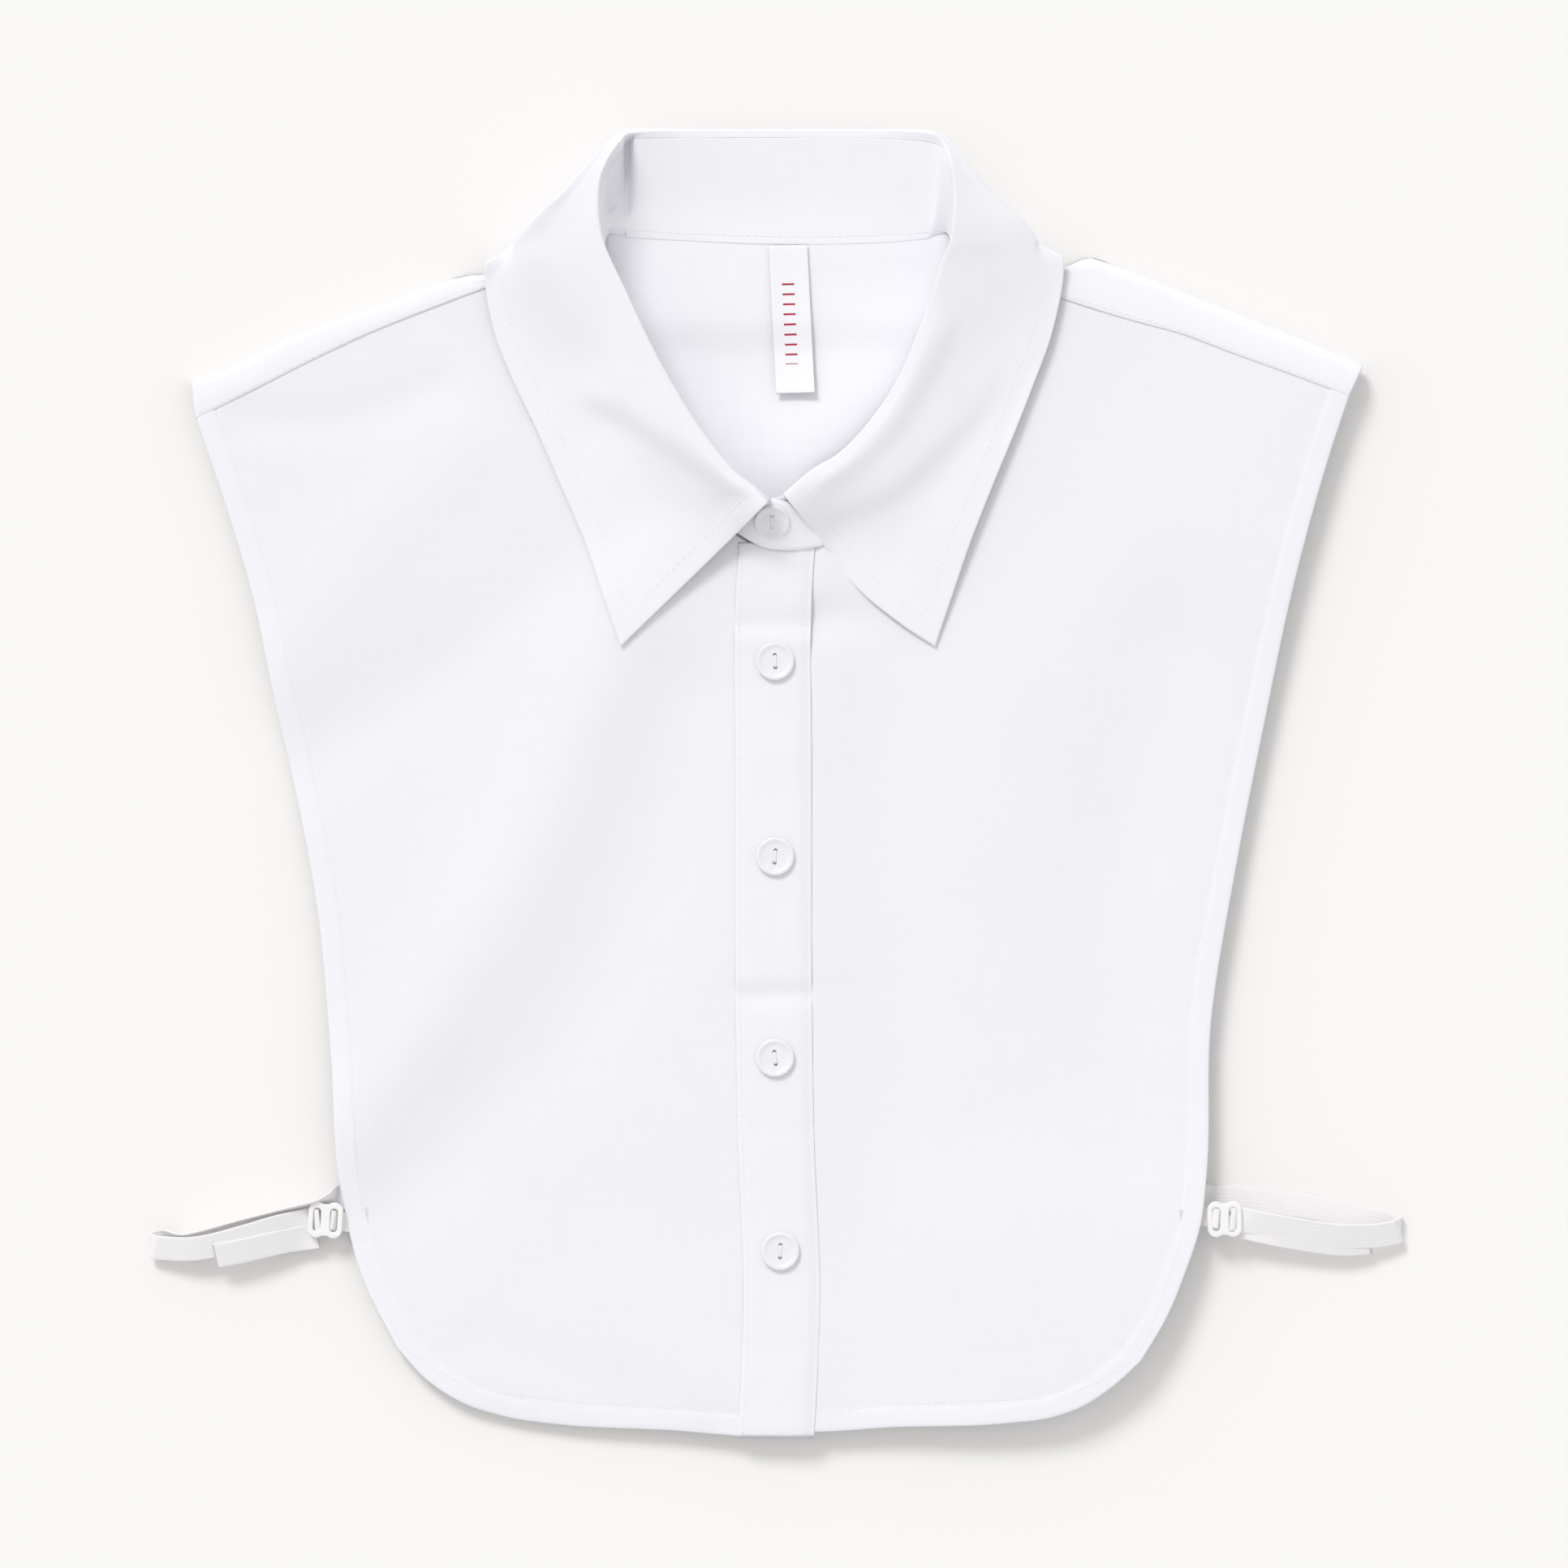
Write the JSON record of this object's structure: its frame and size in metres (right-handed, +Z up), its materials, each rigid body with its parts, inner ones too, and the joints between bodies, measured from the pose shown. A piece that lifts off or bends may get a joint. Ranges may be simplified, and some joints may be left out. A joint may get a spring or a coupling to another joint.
{
  "type": "detachable shirt collar",
  "caption": "White detachable shirt collar laid flat: pointed collar on a stand, buttoned front with placket, short sleeveless body and elastic side straps with sliders.",
  "frame": {"origin": "on the surface the garment lies on, below the middle of its bounding box", "axes": "+X from the wearer's right armhole to the left one as seen in the picture from above, +Y from the hem to the collar, +Z up from the surface, through the front of the garment"},
  "size_m": [0.3878, 0.4033, 0.0226],
  "materials": {
    "white_poplin": "matt plain-woven cotton, slightly translucent",
    "woven_tape": "satin-woven label tape",
    "button_resin": "pearly white resin",
    "white_elastic": "ribbed narrow elastic",
    "white_plastic": "smooth moulded plastic"
  },
  "bodies": {
    "root": {"back_panel": "white_poplin", "front_left": "white_poplin", "front_right": "white_poplin", "placket": "white_poplin", "collar_stand": "white_poplin", "collar_leaf": "white_poplin", "label": "woven_tape", "button_collar": "button_resin", "button_1": "button_resin", "button_2": "button_resin", "button_3": "button_resin", "button_4": "button_resin", "strap_left": "white_elastic", "strap_right": "white_elastic", "strap_tail_left": "white_elastic", "strap_tail_right": "white_elastic", "strap_tab_left": "white_elastic", "strap_tab_right": "white_elastic", "slider_left": "white_plastic", "slider_right": "white_plastic"}
  },
  "joints": []
}
